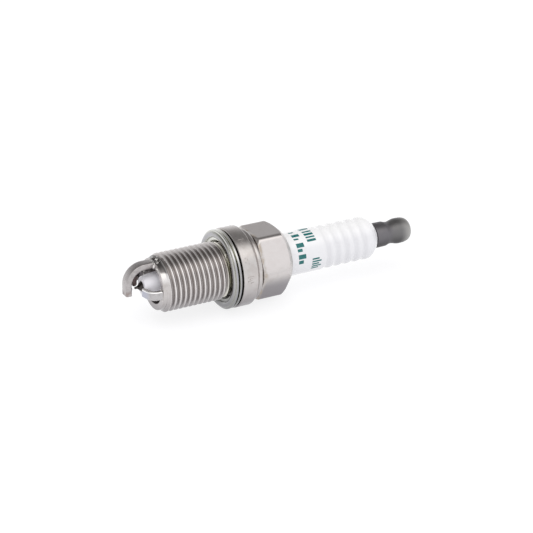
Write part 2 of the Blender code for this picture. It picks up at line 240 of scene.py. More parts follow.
@dataclass(frozen=True)
class Finish:
    """A surface's colour, gloss and grain, with its patches and bands; grain depth is in mm."""

    name: str
    colour: Colour
    roughness: float
    metallic: float = 1.0
    grain: Grain = Grain.FINE
    grain_scale: float = 6.0
    grain_depth: float = 0.003
    mottle: Colour = (0.5, 0.5, 0.5)
    mottle_share: float = 0.3
    mottle_scale: float = 0.5
    gloss_change: float = 0.12
    bands: tuple[Band, ...] = ()
    coat: float = 0.0
    specular: float = 0.5

    def material(self) -> bpy.types.Material:
        """Return the finish's material, built the first time it is asked for."""
        name = f"{self.name}_finish"
        found = bpy.data.materials.get(name)
        if found:
            return found
        made = bpy.data.materials.new(name)
        made.use_nodes = True
        shader = Shader(made.node_tree)
        axis, far, up = shader.place()
        radius = (far * far + up * up) ** 0.5
        measures = {Along.AXIS: axis, Along.FAR_SIDE: far, Along.UP: up, Along.RADIUS: radius}
        where = shader.vector(axis, far, up)
        patches = shader.noise(where, self.mottle_scale, 4.0)
        grain = shader.noise(self._grain_space(shader, axis, far, up, radius), self.grain_scale, 3.0)
        colour = shader.mix(patches.step(0.42, 0.68) * self.mottle_share, self.colour, self.mottle)
        rough = self.roughness + (patches - 0.5) * self.gloss_change + (grain - 0.5) * self.gloss_change
        for band in self.bands:
            share = measures[band.along].step(band.none, band.full) * band.strength
            if band.within != ANYWHERE:
                low, high = band.within
                share = share * axis.step(low - BAND_EDGE, low + BAND_EDGE)
                share = share * axis.step(high + BAND_EDGE, high - BAND_EDGE)
            if band.patchy:
                share = share * patches.step(0.5 - band.patchy, 0.5 + band.patchy)
            colour = shader.mix(share, colour, band.colour)
            if band.roughness:
                rough = rough + share * band.roughness
        height = {"Strength": 1.0, "Distance": self.grain_depth * MM, "Height": grain}
        bump = shader.node("ShaderNodeBump", None, height).outputs[0]
        inputs = {
            "Base Color": colour,
            "Roughness": rough,
            "Metallic": self.metallic,
            "Normal": bump,
            "Coat Weight": self.coat,
            "Coat Roughness": 0.06,
            "Specular IOR Level": self.specular,
        }
        surface = shader.node("ShaderNodeBsdfPrincipled", None, inputs)
        shader.node("ShaderNodeOutputMaterial", None, {"Surface": surface.outputs[0]})
        return made

    def _grain_space(
        self, shader: Shader, axis: Value, far: Value, up: Value, radius: Value
    ) -> bpy.types.NodeSocket:
        """Return the space in which even noise becomes this finish's grain."""
        if self.grain is Grain.TURNED:
            return shader.vector(axis, radius, far * 0.02)
        if self.grain is Grain.DRAWN:
            return shader.vector(axis * 0.08, far, up)
        return shader.vector(axis, far, up)


SHELL_PLATE = Finish(
    name="nickel_plate",
    colour=(0.60, 0.573, 0.560),
    roughness=0.23,
    grain=Grain.TURNED,
    grain_scale=5.0,
    grain_depth=0.005,
    mottle=(0.50, 0.455, 0.435),
    mottle_share=0.45,
    mottle_scale=0.6,
    bands=(
        # Painted shade: the thread's roots darker, as if the grooves lay in shade.
        Band((0.24, 0.218, 0.213), 6.3, 6.78, Along.RADIUS, 0.58, within=(-17.5, -2.6), roughness=0.10),
        # Painted highlight: a bright line along each thread crest.
        Band((0.92, 0.885, 0.875), 6.93, 6.82, Along.RADIUS, 0.8, within=(-17.7, -2.6)),
        # Painted shade: darker towards the underside, where the floor below lies in the plug's shadow.
        Band((0.22, 0.208, 0.222), -8.6, 1.6, Along.UP, 0.9),
        # Painted highlight: a bright band on the front end ring, above its middle.
        Band((0.94, 0.92, 0.91), 3.4, 1.8, Along.UP, 0.6, within=(-18.9, -17.2)),
        # Painted shade: the top of the front end ring darker.
        Band((0.12, 0.112, 0.11), 4.7, 4.2, Along.UP, 0.88, within=(-18.9, -17.4)),
        # Painted shade: the hexagon's lower flats darker.
        Band((0.25, 0.237, 0.250), -4.4, -0.1, Along.UP, 0.82, within=(6.4, 13.5)),
        # Partly the shoulder's own olive tint, partly painted light: the shoulder lightened as if it caught
        # the bright front.
        Band((0.92, 0.90, 0.80), -2.3, -3.0, Along.AXIS, 0.8, within=(-3.4, -1.4)),
        # Painted highlight: the hexagon lighter from its middle upwards, over the near flat.
        Band((0.78, 0.738, 0.733), 2.5, -1.5, Along.UP, 0.55, within=(6.4, 13.2)),
        # Painted shade: the hexagon's top flat darker.
        Band((0.50, 0.47, 0.458), 7.9, 7.6, Along.UP, 0.75, within=(6.4, 13.2)),
        Band((0.40, 0.33, 0.24), 5.9, 6.9, Along.AXIS, 0.7, within=(5.8, 7.6), patchy=0.12),
    ),
)
GASKET_ZINC = Finish(
    name="zinc_plate",
    colour=(0.42, 0.416, 0.447),
    roughness=0.18,
    grain=Grain.TURNED,
    grain_scale=7.0,
    grain_depth=0.003,
    mottle=(0.37, 0.368, 0.33),
    mottle_share=0.5,
    mottle_scale=0.7,
    bands=(
        # Painted shade: darker in the groove between the folds.
        Band((0.13, 0.128, 0.095), 9.0, 9.25, Along.RADIUS, 0.7, within=(-1.6, 0.0)),
        Band((0.52, 0.52, 0.44), 9.38, 9.5, Along.RADIUS, 0.6, within=(-2.3, 0.0)),
        Band((0.36, 0.36, 0.27), 6.9, 7.4, Along.RADIUS, 0.6),
        # Painted reflection: the washer's upper side lighter, as if its ridges mirrored bright light.
        Band((1.0, 1.0, 0.96), 8.0, 3.0, Along.UP, 0.7, within=(-1.9, -0.2)),
        # Painted shade: darker towards the underside.
        Band((0.20, 0.20, 0.205), -9.0, 3.0, Along.UP, 0.75),
    ),
)
ELECTRODE_NICKEL = Finish(
    name="nickel_alloy",
    colour=(0.47, 0.448, 0.445),
    roughness=0.28,
    grain=Grain.DRAWN,
    grain_scale=7.0,
    grain_depth=0.004,
    mottle=(0.34, 0.315, 0.315),
    mottle_share=0.6,
    mottle_scale=0.9,
    bands=(
        # Partly brown heat tint, partly painted shade: the hook darker and browner on its underside.
        Band((0.25, 0.17, 0.145), -0.9, 0.7, Along.UP, 0.6, within=(-30.0, -24.2), patchy=0.3),
    ),
)
NEAR_NICKEL = Finish(
    name="near_side_nickel",
    colour=(0.50, 0.485, 0.487),
    roughness=0.27,
    grain=Grain.DRAWN,
    grain_scale=5.0,
    grain_depth=0.008,
    mottle=(0.38, 0.366, 0.366),
    mottle_share=0.6,
    mottle_scale=0.9,
    bands=(
        Band((0.46, 0.48, 0.58), -22.6, -21.7, Along.AXIS, 0.7),
        # Painted highlight: a white line along the side electrode's top edge.
        Band((1.0, 0.99, 0.99), 0.5, 0.3, Along.UP, 1.0),
    ),
)
# Painted shade: the far side electrode is a darker copy of the near one's nickel, and its end towards the
# axis is dark brown, partly heat tint, partly painted shade.
FAR_NICKEL_PAINTED_SHADE = replace(
    NEAR_NICKEL,
    name="far_side_nickel_painted_shade",
    mottle=(0.30, 0.27, 0.265),
    mottle_share=0.8,
    bands=(Band((0.11, 0.07, 0.065), 3.9, 5.2, Along.RADIUS, 0.9),),
)
CENTRE_NICKEL = Finish(
    name="centre_nickel",
    colour=(0.06, 0.054, 0.054),
    roughness=0.28,
    grain=Grain.TURNED,
    grain_depth=0.003,
    mottle=(0.03, 0.027, 0.027),
    mottle_share=0.7,
    mottle_scale=1.2,
)
IRIDIUM = Finish(
    name="iridium",
    colour=(0.05, 0.046, 0.046),
    roughness=0.35,
    grain=Grain.TURNED,
    grain_depth=0.002,
    mottle=(0.24, 0.22, 0.21),
    mottle_share=0.4,
    mottle_scale=2.0,
)
NOBLE_PAD = Finish(
    name="noble_metal",
    colour=(0.44, 0.38, 0.36),
    roughness=0.34,
    grain=Grain.TURNED,
    grain_depth=0.003,
    mottle=(0.28, 0.21, 0.19),
    mottle_share=0.5,
    mottle_scale=2.0,
)
WELD = Finish(
    name="weld_metal",
    colour=(0.80, 0.78, 0.76),
    roughness=0.16,
    grain_scale=2.4,
    grain_depth=0.06,
    mottle=(0.05, 0.045, 0.042),
    mottle_share=1.0,
    mottle_scale=1.1,
)
GLAZE = Finish(
    name="glazed_alumina",
    colour=(0.77, 0.77, 0.795),
    roughness=0.16,
    metallic=0.0,
    grain_scale=0.6,
    grain_depth=0.012,
    mottle=(0.74, 0.74, 0.768),
    mottle_share=0.5,
    mottle_scale=0.35,
    gloss_change=0.05,
    bands=(
        # Painted shade: the insulator darker towards its underside.
        Band((0.62, 0.62, 0.645), -6.2, 0.8, Along.UP, 0.9),
        # Painted shade: darker in the valleys between the ribs.
        Band((0.63, 0.63, 0.66), 4.93, 5.2, Along.RADIUS, 0.45, within=(24.0, 38.4)),
        # Painted light: the stem lighter on its upper side.
        Band((0.90, 0.90, 0.905), 5.2, 2.4, Along.UP, 0.85, within=(14.0, 40.5)),
        Band((0.84, 0.83, 0.88), -17.0, -12.0, Along.AXIS, 1.0, roughness=0.45),
    ),
    coat=0.5,
)
INK = Finish(
    name="teal_ink",
    colour=(0.004, 0.125, 0.125),
    roughness=0.42,
    metallic=0.0,
    grain_scale=5.0,
    grain_depth=0.002,
    mottle=(0.03, 0.20, 0.195),
    mottle_share=0.6,
    mottle_scale=1.6,
)
DARK_TERMINAL = Finish(
    name="dark_nickel",
    colour=(0.19, 0.187, 0.188),
    roughness=0.44,
    metallic=0.95,
    grain=Grain.TURNED,
    grain_scale=3.5,
    grain_depth=0.006,
    mottle=(0.200, 0.193, 0.200),
    mottle_share=0.6,
    mottle_scale=0.55,
    bands=(
        Band((0.185, 0.178, 0.192), 44.0, 45.4, Along.AXIS, 0.8),
        # Painted shade: the terminal darker towards its underside.
        Band((0.045, 0.044, 0.046), -2.8, 1.2, Along.UP, 0.9),
        # Painted highlight: the nut's rounded end lighter.
        Band((0.46, 0.455, 0.44), 49.9, 46.8, Along.AXIS, 0.8),
    ),
)
STUD_STEEL = Finish(
    name="steel",
    colour=(0.42, 0.41, 0.40),
    roughness=0.34,
    grain=Grain.TURNED,
    mottle=(0.30, 0.28, 0.26),
    mottle_share=0.4,
    # Painted shade: the stud's thread roots darker.
    bands=(Band((0.12, 0.11, 0.10), 1.55, 1.85, Along.RADIUS, 0.8, within=(41.0, 50.0)),),
)
COPPER = Finish(
    name="copper",
    colour=(0.72, 0.38, 0.25),
    roughness=0.32,
    grain=Grain.TURNED,
    mottle=(0.45, 0.21, 0.13),
    mottle_share=0.5,
    mottle_scale=0.8,
)
TALC = Finish(
    name="talc",
    colour=(0.78, 0.77, 0.72),
    roughness=0.85,
    metallic=0.0,
    grain_depth=0.02,
    mottle=(0.66, 0.65, 0.60),
    mottle_scale=1.5,
)
SEAL_GLASS = Finish(
    name="seal_glass",
    colour=(0.17, 0.15, 0.13),
    roughness=0.5,
    metallic=0.4,
    grain_depth=0.02,
    mottle=(0.34, 0.22, 0.15),
    mottle_share=0.6,
    mottle_scale=2.0,
)
CARBON_GLASS = Finish(
    name="carbon_glass",
    colour=(0.05, 0.05, 0.055),
    roughness=0.7,
    metallic=0.0,
    grain_depth=0.02,
    mottle=(0.12, 0.12, 0.12),
    mottle_share=0.5,
    mottle_scale=2.0,
)


# Shapes


def split(grown: list) -> tuple[list[bmesh.types.BMVert], list[bmesh.types.BMEdge]]:
    """Sort the geometry that an operator made into its points and its edges."""
    verts = [item for item in grown if isinstance(item, bmesh.types.BMVert)]
    edges = [item for item in grown if isinstance(item, bmesh.types.BMEdge)]
    return verts, edges


def plate(
    shape: bmesh.types.BMesh, points: Iterable[tuple[float, float, float]]
) -> tuple[list[bmesh.types.BMVert], list[bmesh.types.BMEdge]]:
    """Draw a flat face round its corners, given in mm, and return its points and edges."""
    verts = [shape.verts.new(Vector(point) * MM) for point in points]
    edges = [shape.edges.new((a, b)) for a, b in zip(verts, verts[1:] + verts[:1])]
    shape.faces.new(verts)
    return verts, edges


def arc(centre: tuple[float, float], radius: float, start: float, end: float, steps: int = 6) -> Outline:
    """Points of a circular arc in an outline.

    Args:
        centre: The arc's centre as (z, radius), in mm.
        radius: The arc's own radius, in mm.
        start: First angle in degrees, from the +z direction towards growing radius.
        end: Last angle in degrees.
        steps: How many chords the arc has.

    Returns:
        The points, in order.
    """
    angles = [math.radians(start + (end - start) * i / steps) for i in range(steps + 1)]
    return [(centre[0] + radius * math.cos(a), centre[1] + radius * math.sin(a)) for a in angles]


def radius_at(outline: Outline, along: float) -> float:
    """Read an outline's radius at one place along the axis, in straight stretches between its points."""
    if along <= outline[0][0]:
        return outline[0][1]
    for (z0, r0), (z1, r1) in zip(outline, outline[1:]):
        if along <= z1:
            return r0 + (r1 - r0) * (along - z0) / (z1 - z0)
    return outline[-1][1]


def dense(outline: Outline, start: float, step: float) -> Outline:
    """Add points to an outline beyond one place along the axis, none further apart than a step."""
    points = outline[:1]
    for (z0, r0), (z1, r1) in zip(outline, outline[1:]):
        parts = math.ceil(math.hypot(z1 - z0, r1 - r0) / step) if z0 >= start else 1
        points += [(z0 + (z1 - z0) * i / parts, r0 + (r1 - r0) * i / parts) for i in range(1, parts + 1)]
    return points


def spun(outline: Outline, sides: int = ROUND) -> bmesh.types.BMesh:
    """Spin an outline once round the axis.

    Args:
        outline: (z, radius) points in mm. One that ends on the axis makes a solid, any other a ring.
        sides: How many facets go round.

    Returns:
        A closed shape in metres.
    """
    shape = bmesh.new()
    points = [shape.verts.new((radius * MM, 0, along * MM)) for along, radius in outline]
    edges = [shape.edges.new(pair) for pair in zip(points, points[1:])]
    if outline[0][1] > 0 or outline[-1][1] > 0:
        edges.append(shape.edges.new((points[-1], points[0])))
    bmesh.ops.spin(
        shape,
        geom=points + edges,
        cent=(0, 0, 0),
        axis=(0, 0, 1),
        angle=math.tau,
        steps=sides,
        use_merge=True,
    )
    bmesh.ops.remove_doubles(shape, verts=shape.verts, dist=WELDED)
    return shape


@dataclass(frozen=True)
class Thread:
    """A right-hand 60 degree screw thread, in mm."""

    crest: float
    depth: float
    pitch: float
    start: float
    end: float
    turned_to: float = 0.0

    def turn(self) -> Outline:
        """Return one pitch of its section, from a crest's middle to the next."""
        crest_half, root = self.pitch / 16, self.crest - self.depth
        flank = self.depth * math.tan(math.radians(30))
        round_off = self.depth * 0.09
        side = [
            (crest_half * 0.7, self.crest),
            (crest_half + round_off * 0.9, self.crest - round_off),
            (crest_half + flank / 2, root + self.depth / 2),
            (crest_half + flank - round_off * 0.6, root + round_off),
            (crest_half + flank + round_off, root),
        ]
        return side + [(self.pitch - along, radius) for along, radius in reversed(side)]

    def skin(self, limit: Outline, sides: int) -> bmesh.types.BMesh:
        """Build the thread as an open tube between its two ends.

        Args:
            limit: An outline that the thread stays under, for its run-in and run-out.
            sides: How many facets go round.

        Returns:
            The tube, cut square at both ends.
        """
        shape = bmesh.new()
        turns = math.ceil((self.end - self.start) / self.pitch) + 3
        first = self.start - 2 * self.pitch
        turn = self.turn()
        line = [(first + n * self.pitch + along, radius) for n in range(turns) for along, radius in turn]
        points = [shape.verts.new((radius * MM, 0, along * MM)) for along, radius in line]
        edges = [shape.edges.new(pair) for pair in zip(points, points[1:])]
        rise = Vector((0, 0, self.pitch / sides * MM))
        bmesh.ops.spin(
            shape, geom=points + edges, cent=(0, 0, 0), axis=(0, 0, 1), dvec=rise, angle=math.tau, steps=sides
        )
        bmesh.ops.remove_doubles(shape, verts=shape.verts, dist=0.001 * MM)
        bmesh.ops.rotate(shape, verts=shape.verts, matrix=Matrix.Rotation(self.turned_to, 3, "Z"))
        for vert in shape.verts:
            radius = math.hypot(vert.co.x, vert.co.y)
            allowed = radius_at(limit, vert.co.z / MM) * MM
            if radius > allowed:
                vert.co.x *= allowed / radius
                vert.co.y *= allowed / radius
        for along, below in ((self.start, True), (self.end, False)):
            bmesh.ops.bisect_plane(
                shape,
                geom=[*shape.verts, *shape.edges, *shape.faces],
                dist=0.0001 * MM,
                plane_co=(0, 0, along * MM),
                plane_no=(0, 0, 1),
                clear_inner=below,
                clear_outer=not below,
            )
        return shape


def open_loop(shape: bmesh.types.BMesh, near: float) -> list[bmesh.types.BMEdge]:
    """Return the open edges that lie closest to one place along the axis, in mm."""
    rims = [edge for edge in shape.edges if edge.is_boundary]
    closest = min(abs(edge.verts[0].co.z / MM - near) for edge in rims)
    return [edge for edge in rims if abs(abs(edge.verts[0].co.z / MM - near) - closest) < 0.01]


def grow(
    shape: bmesh.types.BMesh, edges: list[bmesh.types.BMEdge], stations: Outline
) -> list[bmesh.types.BMEdge]:
    """Extrude a loop round the axis from ring to ring.

    Args:
        shape: The shape that the loop belongs to.
        edges: The loop's edges.
        stations: The (z, radius) of each new ring, in mm.

    Returns:
        The last ring's edges.
    """
    for along, radius in stations:
        verts, edges = split(bmesh.ops.extrude_edge_only(shape, edges=edges)["geom"])
        for vert in verts:
            ahead = Vector((vert.co.x, vert.co.y, 0)).normalized()
            vert.co = ahead * radius * MM + Vector((0, 0, along * MM))
    return edges


def rounded_section(width: float, thickness: float, outer: float, inner: float) -> Section:
    """Section of a bar as (thickness-wise, width-wise) points in mm, its outer and inner corners rounded."""
    half_t, half_w = thickness / 2, width / 2
    points = []
    corners = ((1, 1, outer, 0), (-1, 1, inner, 90), (-1, -1, inner, 180), (1, -1, outer, 270))
    for side_t, side_w, corner, start in corners:
        middle = (side_t * (half_t - corner), side_w * (half_w - corner))
        points += arc(middle, corner, start, start + 90, 5)
    return points


SOFT_END = ((0.05, 0.04), (0.1, 0.03), (0.3, 0.0))
SOFT_LENGTH = sum(forward for _, forward in SOFT_END)


def bar(section: Section, root: tuple[float, float], moves: list[tuple]) -> bmesh.types.BMesh:
    """Run a section along a route in the plug's X-Z plane.

    Args:
        section: The bar's outline, as rounded_section gives it.
        root: The (x, z) where its middle starts, heading towards -Z, in mm.
        moves: ("run", length) or ("bend", radius, angle), where a bend turns in towards the axis.

    Returns:
        A closed bar with its free end softened.
    """
    shape = bmesh.new()
    verts, edges = plate(shape, ((root[0] + x, y, root[1]) for x, y in section))
    middle = Vector((root[0], 0, root[1])) * MM
    ahead = Vector((0, 0, -1))
    inward = Vector((-1, 0, 0))
    for kind, amount, *angle in moves:
        if kind == "run":
            verts, edges = split(bmesh.ops.extrude_edge_only(shape, edges=edges)["geom"])
            bmesh.ops.translate(shape, verts=verts, vec=ahead * amount * MM)
            middle += ahead * amount * MM
        else:
            centre = middle + inward * amount * MM
            steps = max(6, round(math.degrees(angle[0]) / 3))
            grown = bmesh.ops.spin(
                shape, geom=verts + edges, cent=centre, axis=(0, 1, 0), angle=angle[0], steps=steps
            )["geom_last"]
            verts, edges = split(grown)
            turn = Matrix.Rotation(angle[0], 3, "Y")
            middle = centre + turn @ (middle - centre)
            ahead = turn @ ahead
            inward = turn @ inward
    for inset, forward in SOFT_END:
        verts, edges = split(bmesh.ops.extrude_edge_only(shape, edges=edges)["geom"])
        middle += ahead * forward * MM
        for vert in verts:
            across = vert.co - middle
            across -= ahead * across.dot(ahead)
            vert.co = middle + across * (1 - inset * MM / max(across.length, inset * MM))
    bmesh.ops.edgeloop_fill(shape, edges=edges)
    bmesh.ops.remove_doubles(shape, verts=shape.verts, dist=0.0005 * MM)
    return shape


def roughen(shape: bmesh.types.BMesh, amount: float, lump: float) -> None:
    """Push a shape's points about like solidified metal.

    Args:
        shape: The shape to change.
        amount: The largest push, in mm.
        lump: The size of a lump, in mm.
    """
    for vert in shape.verts:
        vert.co += noise.noise_vector(vert.co / MM / lump) * amount * MM


def solid(
    name: str, shape: bmesh.types.BMesh, finish: Finish, smooth_below: float = 40.0
) -> bpy.types.Object:
    """Turn a shape of the plug's frame into an object of the row frame, its place in its mesh.

    Args:
        name: The piece's name.
        shape: A closed shape in the plug's frame, which is freed.
        finish: The piece's finish.
        smooth_below: Edges that turn by less than this many degrees are shaded round.

    Returns:
        The new object.
    """
    bmesh.ops.transform(shape, matrix=LAY_DOWN, verts=shape.verts)
    bmesh.ops.recalc_face_normals(shape, faces=shape.faces)
    flat = [face.index for face in shape.faces if len(face.verts) > CAP_CORNERS]
    mesh = bpy.data.meshes.new(name)
    shape.to_mesh(mesh)
    shape.free()
    mesh.shade_smooth()
    mesh.set_sharp_from_angle(angle=math.radians(smooth_below))
    for index in flat:
        mesh.polygons[index].use_smooth = False
    mesh.materials.append(finish.material())
    made = bpy.data.objects.new(name, mesh)
    bpy.context.scene.collection.objects.link(made)
    return made


def carve(piece: bpy.types.Object, cutter: bpy.types.Object, smooth_below: float) -> None:
    """Subtract a cutter from a piece for good, and remove the cutter."""
    modifier = piece.modifiers.new("carve", "BOOLEAN")
    modifier.operation = "DIFFERENCE"
    modifier.solver = "EXACT"
    modifier.object = cutter
    bpy.context.view_layer.update()
    made = bpy.data.meshes.new_from_object(piece.evaluated_get(bpy.context.evaluated_depsgraph_get()))
    piece.modifiers.remove(modifier)
    old = piece.data
    piece.data = made
    made.name = old.name
    bpy.data.meshes.remove(old)
    bpy.data.objects.remove(cutter)
    made.shade_smooth()
    made.set_sharp_from_angle(angle=math.radians(smooth_below))


def report(piece: bpy.types.Object) -> None:
    """Log one piece and how many faces it has."""
    LOG.info("%s: %d faces", piece.name, len(piece.data.polygons))


def patch(
    ends: tuple[float, float], span: tuple[float, float], depth: tuple[float, float]
) -> bmesh.types.BMesh:
    """Build a small closed patch that lies on a round surface.

    Args:
        ends: Its first and last place along the axis, in mm.
        span: Its first and last angle round the axis, in degrees from the top towards the near side.
        depth: The radius of its underside and of its face, in mm.

    Returns:
        The patch, in metres.
    """
    shape = bmesh.new()
    low, high = depth
    corners = [(ends[0], low), (ends[0], high), (ends[1], high), (ends[1], low)]
    verts, edges = plate(shape, ((radius, 0, along) for along, radius in corners))
    bmesh.ops.rotate(shape, verts=verts, matrix=Matrix.Rotation(math.radians(span[0]), 3, "Z"))
    angle = math.radians(span[1] - span[0])
    steps = max(3, round(math.degrees(angle) / 2.5))
    turned = bmesh.ops.spin(
        shape, geom=verts + edges, cent=(0, 0, 0), axis=(0, 0, 1), angle=angle, steps=steps
    )
    bmesh.ops.edgeloop_fill(shape, edges=split(turned["geom_last"])[1])
    return shape


def joined(shapes: Iterable[bmesh.types.BMesh]) -> bmesh.types.BMesh:
    """Gather several shapes into one and free them."""
    whole = bmesh.new()
    for shape in shapes:
        scratch = bpy.data.meshes.new("scratch")
        shape.to_mesh(scratch)
        shape.free()
        whole.from_mesh(scratch)
        bpy.data.meshes.remove(scratch)
    return whole


# Sub-assemblies


@dataclass
class Shell:
    """Threaded steel shell with its relief, flange, buckled ring, hexagon and crimped lip, in mm."""

    thread: Thread = Thread(crest=6.95, depth=0.75, pitch=1.25, start=-18.2, end=-2.2, turned_to=-2.5)
    shoulder: float = 6.6
    relief: float = 6.15
    flange: float = 9.6
    across_flats: float = 16.0
    hex_front: float = 5.75
    hex_rear: float = 12.3
    hex_corner: float = 9.15
    lip_end: float = 14.95
    lip_bore: float = 5.36
    edge_round: float = 1.3
    flats_beyond: float = 6.5
    soften: float = 0.05
    stamp_starts: tuple[float, ...] = (24.0, 54.0, 82.0)
    stamp_width: float = 1.7
    stamp_gap: float = 1.3
    stamp_sunk: float = 0.03
    stamp_proud: float = 0.12

    def run_out(self) -> Outline:
        """Return the outline that the thread stays under."""
        root = self.thread.crest - self.thread.depth
        return [
            (-18.2, root + 0.02),
            (-17.75, root + 0.12),
            (-17.3, self.thread.crest),
            (-3.1, self.thread.crest),
            (-2.2, self.shoulder),
        ]

    def outside(self) -> Outline:
        """Return the outline from the thread's rear end to the lip."""
        flange, relief = self.flange, self.relief
        return [
            (-1.85, self.shoulder),
            (-1.72, self.shoulder - 0.06),
            (-1.66, relief),
            (-0.35, relief),
            *arc((-0.35, relief + 0.35), 0.35, 270, 360, 3),
            (0, flange - 0.35),
            *arc((0.3, flange - 0.3), 0.3, 180, 90, 5),
            (3.45, flange),
            *arc((3.45, flange - 0.3), 0.3, 90, 40, 4),
            (4.12, 8.95),
            (4.18, 8.8),
            (4.2, 7.8),
            *arc((4.95, 7.98), 0.68, 165, 15, 12),
            (5.64, 8.05),
            (self.hex_front, 8.0),
            (self.hex_front, 8.3),
            *arc((self.hex_front + 0.12, 8.36), 0.12, 180, 120, 2),
            (self.hex_front + 0.75, self.hex_corner),
            (self.hex_rear, self.hex_corner),
            (12.62, 8.82),
            (12.95, 8.35),
            (13.02, 8.1),
            (13.04, 7.82),
            (13.16, 7.72),
            (14.2, 6.9),
            (14.6, 6.32),
            (14.82, 5.92),
            (self.lip_end, 5.65),
            (self.lip_end, 5.55),
        ]

    def inside(self) -> Outline:
        """Return the outline from the thread's front end round the end face and up the bore to the lip."""
        return [
            (-18.6, 6.17),
            *arc((-18.78, 5.95), 0.22, 90, 180, 5),
            (-REACH, 5.0),
            *arc((-REACH + 0.15, 4.8), 0.15, 180, 270, 3),
            (-11.1, 4.65),
            (-10.6, 4.15),
            (-9.1, 4.15),
            (-8.6, 4.85),
            (3.3, 4.85),
            (4.75, 6.3),
            (13.6, 6.3),
            (14.1, 5.95),
            (14.3, self.lip_bore),
            (self.lip_end - 0.1, self.lip_bore),
        ]

    def hexagon(self, off: float) -> float:
        """Return the rounded hexagon's radius at an angle off a flat's middle, in mm and degrees."""
        flat = self.across_flats / 2
        slope = math.tan(math.radians(30))
        if math.tan(math.radians(off)) < slope * (1 - self.edge_round / flat):
            return flat / math.cos(math.radians(off))
        centre = (flat - self.edge_round) / math.cos(math.radians(30))
        turn = math.radians(30 - off)
        return centre * math.cos(turn) + math.sqrt(self.edge_round**2 - (centre * math.sin(turn)) ** 2)

    def flats(self, shape: bmesh.types.BMesh) -> None:
        """Draw the hexagon's stretch in to six flats, its columns gathered at the rounded corners."""
        for vert in shape.verts:
            radius = math.hypot(vert.co.x, vert.co.y) / MM
            if vert.co.z < (self.hex_front - 0.02) * MM or radius < self.flats_beyond:
                continue
            degrees = math.degrees(math.atan2(vert.co.y, vert.co.x))
            middle = round(degrees / 60) * 60
            off = degrees - middle
            gathered = 30 * (1 - (1 - min(abs(off) / 30, 1)) ** 2)
            angle = math.radians(middle + math.copysign(gathered, off))
            limit = self.hexagon(gathered)
            excess = math.exp(-radius / self.soften) + math.exp(-limit / self.soften)
            drawn = -self.soften * math.log(excess) * MM
            vert.co.x, vert.co.y = drawn * math.cos(angle), drawn * math.sin(angle)

    def stamps(self) -> bpy.types.Object:
        """Build the small raised dashes stamped round the flange, in groups of four."""
        depth = (self.flange - self.stamp_sunk, self.flange + self.stamp_proud)
        dashes = []
        for start in self.stamp_starts:
            for step, (first, length) in enumerate(((1.0, 1.5), (1.5, 0.6), (0.95, 1.1), (1.7, 0.8))):
                begin = start + (self.stamp_width + self.stamp_gap) * step
                dashes.append(patch((first, first + length), (begin, begin + self.stamp_width), depth))
        piece = solid("flange_stamps", joined(dashes), SHELL_PLATE)
        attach(piece, "plug")
        return piece

    def build(self) -> list[bpy.types.Object]:
        """Build the shell, from its thread outwards, and its stamps."""
        shape = self.thread.skin(self.run_out(), ROUND)
        rear = grow(shape, open_loop(shape, self.thread.end), dense(self.outside(), self.hex_front, 0.22))
        front = grow(shape, open_loop(shape, self.thread.start), self.inside())
        bmesh.ops.bridge_loops(shape, edges=rear + front)
        bmesh.ops.remove_doubles(shape, verts=shape.verts, dist=WELDED)
        bmesh.ops.recalc_face_normals(shape, faces=shape.faces)
        self.flats(shape)
        piece = solid("shell_body", shape, SHELL_PLATE, smooth_below=48.0)
        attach(piece, "plug")
        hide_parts("shell")
        return [piece, self.stamps()]


@dataclass
class Gasket:
    """Crush washer folded from sheet steel, in mm."""

    front: float = -2.45
    rear: float = -0.3
    outer: float = 9.55
    inner: float = 6.75
    fold: float = 0.29
    lip: float = 0.42

    def outline(self) -> Outline:
        """Return the folded section: a wide front fold, a narrow one behind it and a rolled inner lip."""
        return [
            (-2.02, 7.72),
            (-2.2, 7.86),
            *arc((-2.05, 8.35), 0.4, 215, 180, 4),
            (self.front, 8.6),
            (-2.38, 8.86),
            (-2.22, 9.08),
            (-2.08, 9.17),
            (-2.0, 9.13),
            (-1.93, 9.22),
            *arc((-1.63, self.outer - self.fold), self.fold, 170, 20, 7),
            (-1.25, 9.1),
            (-1.17, 8.75),
            (-1.09, 8.75),
            (-1.01, 9.1),
            *arc((-0.7, self.outer - self.fold - 0.04), self.fold, 165, 15, 8),
            (-0.38, 9.1),
            (-0.33, 8.6),
            (self.rear, 8.4),
            (self.rear, 7.2),
            *arc((-0.75, self.inner + self.lip), self.lip, 20, -180, 12)[1:-1],
            (-1.45, self.inner + 0.12),
            (-1.75, 7.1),
            (-1.82, 7.35),
            (-1.72, 7.56),
            (-1.8, 7.68),
        ]

    def build(self) -> bpy.types.Object:
        """Build the washer."""
        piece = solid("crush_gasket", spun(self.outline()), GASKET_ZINC, smooth_below=70.0)
        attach(piece, "gasket")
        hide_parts("gasket")
        return piece


